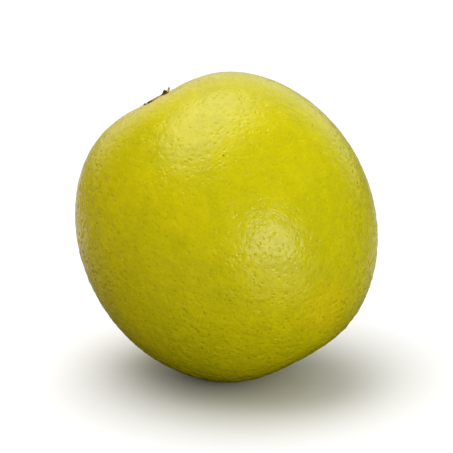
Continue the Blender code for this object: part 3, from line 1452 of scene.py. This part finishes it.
@dataclass
class StalkEnd:
    """The snapped end of the stalk: a low disc with a raised rim and a rough, sunken middle.

    Attributes:
        outline: The law of the fruit's form.
        lie: How the fruit lies.
        sides: Number of sides of the circle that it starts from.
        radius: Its radius.
        height: Its height.
        rim_width: Width of the rim, and of each ring inside it.
        hollow: How far the middle is sunk.
        bevel_share: Width of the rounding of the rim, as a share of the rim's width.
        bevel_segments: Number of steps in that rounding.
        seat: Height of its foot above the skin.
        roughness: How far the broken wood is roughened.
        grain_size: Size of that roughness.
    """

    outline: Outline
    lie: Lie
    sides: int = 40
    radius: float = 0.0020
    height: float = 0.0007
    rim_width: float = 0.0004
    hollow: float = 0.0002
    bevel_share: float = 0.3
    bevel_segments: int = 2
    seat: float = 0.0001
    roughness: float = 0.00018
    grain_size: float = 0.0005

    def build(self) -> Piece:
        """Model the disc from a circle by extruding and insetting, and lay it on the skin.

        Returns:
            The stalk's end.
        """
        deselect_all()
        bpy.ops.mesh.primitive_circle_add(vertices=self.sides, radius=self.radius, fill_type="NGON")
        stalk = name_new("stalk_end")
        edit_all()
        bpy.ops.mesh.extrude_region_move(TRANSFORM_OT_translate={"value": (0.0, 0.0, self.height)})
        bpy.ops.mesh.inset(thickness=0.5 * self.rim_width)
        for sunk in (self.hollow, 0.0, 0.0):
            bpy.ops.mesh.inset(thickness=self.rim_width, depth=-sunk)
        bpy.ops.mesh.poke()
        bpy.ops.mesh.select_all(action="SELECT")
        bpy.ops.mesh.normals_make_consistent(inside=False)
        deselect_all()
        stalk.select_set(True)
        rounding = self.bevel_share * self.rim_width
        apply_modifier(stalk, "BEVEL", width=rounding, segments=self.bevel_segments)
        apply_modifier(stalk, "SUBSURF", levels=SMOOTHING_LEVELS, render_levels=SMOOTHING_LEVELS)
        grain = clouds("broken_grain", self.grain_size)
        apply_modifier(stalk, "DISPLACE", texture=grain, strength=self.roughness, mid_level=NOISE_MIDDLE)
        lay_on_skin(stalk, self.outline, self.lie, self.seat, 0.0)
        bpy.ops.object.shade_smooth()
        return stalk

    def finish(self) -> bpy.types.Material:
        """Make the snapped stalk's material."""
        return StalkFinish(self.lie).material()


# The studio


def aim(name: str, data: bpy.types.ID, target: Vector, away: Vector, distance: float) -> Piece:
    """Hang a light or a camera at a distance from its target and aim it there.

    Args:
        name: What it is called.
        data: The light or the camera.
        target: What it is aimed at.
        away: Direction from the target to it, of length 1.
        distance: How far away it is.

    Returns:
        The object that holds it.
    """
    holder = bpy.data.objects.new(name, data)
    bpy.context.scene.collection.objects.link(holder)
    holder.location = target + away * distance
    holder.rotation_euler = away.to_track_quat("Z", "Y").to_euler()
    return holder


@dataclass(frozen=True)
class SoftBox:
    """One soft light, aimed at the fruit, brightest in the middle and fading to its edge.

    Attributes:
        name: What the light is called.
        direction: Where it hangs, seen from the fruit.
        distance: How far away it hangs.
        width: Its width.
        height: Its height.
        radiance: Brightness of its middle.
        core: Radius of the evenly bright middle, as a share of the width.
        edge_share: Brightness of its edge, as a share of the middle's.
    """

    name: str
    direction: Point
    distance: float
    width: float
    height: float
    radiance: float
    core: float = 0.12
    edge_share: float = 0.2

    def hang(self, target: Vector) -> None:
        """Hang the light where it belongs and aim it.

        Args:
            target: What it is aimed at.
        """
        light = bpy.data.lights.new(self.name, "AREA")
        light.shape = "ELLIPSE"
        light.size = self.width
        light.size_y = self.height
        light.energy = self.radiance * math.pi * self.width * self.height * ELLIPSE_SHARE
        light.use_nodes = True
        wiring = Wiring(light.node_tree)
        across = wiring.node("ShaderNodeNewGeometry").outputs["Parametric"]
        from_middle = wiring.distance(across, (HALF_LIGHT, HALF_LIGHT, 0.0))
        fading = wiring.ramp(from_middle, self.core, HALF_LIGHT, 1.0, self.edge_share)
        wiring.feed(light.node_tree.nodes["Emission"].inputs["Strength"], fading)
        aim(self.name, light, target, Vector(self.direction).normalized(), self.distance)
        LOG.info("light %s, radiance %.1f", self.name, self.radiance)


@dataclass(frozen=True)
class Studio:
    """The white floor, the soft lights and the camera.

    Attributes:
        elevation: Height of the camera above the fruit, as an angle.
        camera_distance: Distance from the camera to the fruit's middle.
        field_width: Width of what the camera takes in at the fruit.
        sensor_width_mm: Width of the camera's sensor.
        floor_size: Side of the floor.
        floor_cuts: Number of cuts across the floor each way.
        left_glow: Brightness of the room on the left.
        right_glow: Brightness of the room on the right.
        glow_edge: How far to the right, from -1 to 1, the first ends and the second begins.
        corner: Direction of a lighter corner of the room, behind the fruit on the left.
        corner_glow: How much lighter that corner is.
        corner_edge: Cosines of the angles from its direction where it begins and is full.
        front_gloss: Brightness of the room behind the camera, as the gloss shows it.
        back_gloss: Brightness of the white wall, as the gloss shows it.
        gloss_edge: How far back, from -1 to 1, the first ends and the second begins.
        exposure: Brightening of the picture, in stops.
        boxes: The soft lights.
    """

    elevation: float = math.radians(18)
    camera_distance: float = 0.9
    field_width: float = 0.106
    sensor_width_mm: float = 36.0
    floor_size: float = 8.0
    floor_cuts: int = 3
    left_glow: float = 0.40
    right_glow: float = 0.60
    glow_edge: Span = (-0.8, 0.4)
    corner: Point = (-0.6, 0.8, 0.0)
    corner_glow: float = 0.5
    corner_edge: Span = (0.6, 0.95)
    front_gloss: float = 0.03
    back_gloss: float = 0.72
    gloss_edge: Span = (0.45, 0.9)
    exposure: float = -0.12
    boxes: tuple[SoftBox, ...] = (
        SoftBox(
            name="overhead_box",
            direction=(-0.17, 0.10, 0.97),
            distance=0.6,
            width=1.24,
            height=0.66,
            radiance=2.8,
            core=0.16,
        ),
        SoftBox(
            name="front_box",
            direction=(0.54, -0.82, 0.09),
            distance=0.7,
            width=0.66,
            height=0.56,
            radiance=4.15,
        ),
    )

    def lay_floor(self) -> None:
        """Lay the white floor."""
        deselect_all()
        bpy.ops.mesh.primitive_plane_add(size=self.floor_size)
        floor = name_new("studio_floor")
        edit_all()
        bpy.ops.mesh.subdivide(number_cuts=self.floor_cuts)
        deselect_all()
        floor.data.materials.append(PaperFinish().material())

    def light(self, target: Vector) -> None:
        """Light the room and hang the soft lights.

        Args:
            target: What the lights are aimed at.
        """
        world = bpy.data.worlds.new("white_room")
        world.use_nodes = True
        world.cycles.sampling_method = "NONE"
        background = world.node_tree.nodes["Background"]
        background.inputs["Color"].default_value = WHITE
        self.glow(Wiring(world.node_tree), background.inputs["Strength"])
        bpy.context.scene.world = world
        for box in self.boxes:
            box.hang(target)

    def glow(self, wiring: Wiring, strength: Socket) -> None:
        """Wire the room's brightness, which is one thing for soft light and another for gloss.

        Args:
            wiring: The world's tree.
            strength: The input that takes the brightness.
        """
        direction = wiring.node("ShaderNodeTexCoord").outputs["Generated"]
        soft = wiring.ramp(wiring.axis(direction, "X"), *self.glow_edge, self.left_glow, self.right_glow)
        towards_corner = wiring.vector_math("DOT_PRODUCT", direction, self.corner)
        soft = wiring.total(soft, wiring.ramp(towards_corner, *self.corner_edge, 0.0, self.corner_glow))
        back = wiring.axis(direction, "Y")
        gloss = wiring.ramp(back, *self.gloss_edge, self.front_gloss, self.back_gloss)
        in_gloss = wiring.node("ShaderNodeLightPath").outputs["Is Glossy Ray"]
        wiring.feed(strength, wiring.mix_numbers(in_gloss, soft, gloss))

    def set_camera(self, target: Vector) -> None:
        """Set the camera at the photograph's viewing angle.

        Args:
            target: What it is aimed at.
        """
        lens = bpy.data.cameras.new("camera")
        lens.sensor_width = self.sensor_width_mm
        lens.lens = self.sensor_width_mm * self.camera_distance / self.field_width
        away = Vector((0.0, -math.cos(self.elevation), math.sin(self.elevation)))
        bpy.context.scene.camera = aim("camera", lens, target, away, self.camera_distance)

    def open(self, target: Vector) -> None:
        """Set up the whole studio round the fruit.

        Args:
            target: The middle of the fruit.
        """
        self.lay_floor()
        self.light(target)
        self.set_camera(target)
        view = bpy.context.scene.view_settings
        view.view_transform = "Standard"
        view.look = "Medium High Contrast"
        view.exposure = self.exposure
        LOG.info("studio ready")


def main() -> None:
    """Build the orange's finished pieces in order, and the studio round them."""
    logging.basicConfig(level=logging.INFO, format="%(name)s %(message)s")
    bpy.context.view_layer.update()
    outline = Outline()
    low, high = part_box(Solid.FRUIT.value)
    lie = Lie.from_box(outline, low, high)
    LOG.info("middle of the fruit at %s", lie.middle)

    stem_end = lie.turn() @ Vector((0.0, 0.0, outline.pole_radius(0.0))) + Vector(lie.middle)
    rind = Rind(outline, lie, OilGlands(stem_end_mm=tuple(stem_end / MM)))
    calyx = Calyx(outline, lie)
    stalk_end = StalkEnd(outline, lie)
    dress(rind.build(), rind.finish(), Solid.FRUIT)
    dress(calyx.build(), calyx.finish(), Solid.CALYX)
    dress(stalk_end.build(), stalk_end.finish(), Solid.STEM_END)

    Studio().open(Vector(lie.middle))


if __name__ == "__main__":
    main()
